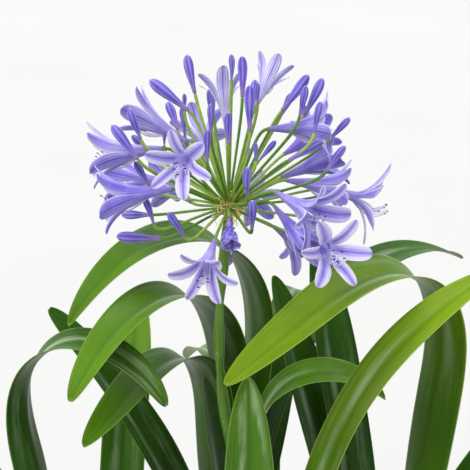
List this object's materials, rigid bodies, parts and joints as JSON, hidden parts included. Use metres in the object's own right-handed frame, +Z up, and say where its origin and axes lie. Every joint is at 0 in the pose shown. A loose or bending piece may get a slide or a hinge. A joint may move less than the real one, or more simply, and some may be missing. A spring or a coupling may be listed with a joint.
{
  "type": "agapanthus plant",
  "caption": "Potted agapanthus: a clump of arching strap leaves around a bare stalk that carries a round head of trumpet flowers and closed buds.",
  "frame": {"origin": "centre of the pot's underside, on the surface that it stands on", "axes": "+Z up, +X to the right and -Y to the front, where the flower head opens to"},
  "size_m": [0.9053, 0.8376, 0.85],
  "materials": {
    "clay": "matte",
    "soil": "matte",
    "rhizome_skin": "matte",
    "leaf": "satin",
    "stem": "satin",
    "petal": "matte"
  },
  "bodies": {
    "root": {"pot": "clay", "soil": "soil", "rhizome": "rhizome_skin", "leaf_01": "leaf", "leaf_02": "leaf", "leaf_03": "leaf", "leaf_04": "leaf", "leaf_05": "leaf", "leaf_06": "leaf", "leaf_07": "leaf", "leaf_08": "leaf", "leaf_09": "leaf", "leaf_10": "leaf", "leaf_11": "leaf", "leaf_12": "leaf", "leaf_13": "leaf", "leaf_14": "leaf", "leaf_15": "leaf", "leaf_16": "leaf", "leaf_17": "leaf", "leaf_18": "leaf", "leaf_19": "leaf", "leaf_20": "leaf", "leaf_21": "leaf", "leaf_22": "leaf", "leaf_23": "leaf", "leaf_24": "leaf", "leaf_25": "leaf", "leaf_26": "leaf", "scape": "stem", "flower_head": "stem", "bloom_01": "petal", "bloom_02": "petal", "bloom_03": "petal", "bloom_04": "petal", "bloom_05": "petal", "bloom_06": "petal", "bloom_07": "petal", "bloom_08": "petal", "bloom_09": "petal", "bloom_10": "petal", "bloom_11": "petal", "bloom_12": "petal", "bloom_13": "petal", "bloom_14": "petal", "bloom_15": "petal", "bloom_16": "petal", "bloom_17": "petal", "bloom_18": "petal", "bloom_19": "petal", "bloom_20": "petal", "bloom_21": "petal"}
  },
  "joints": []
}
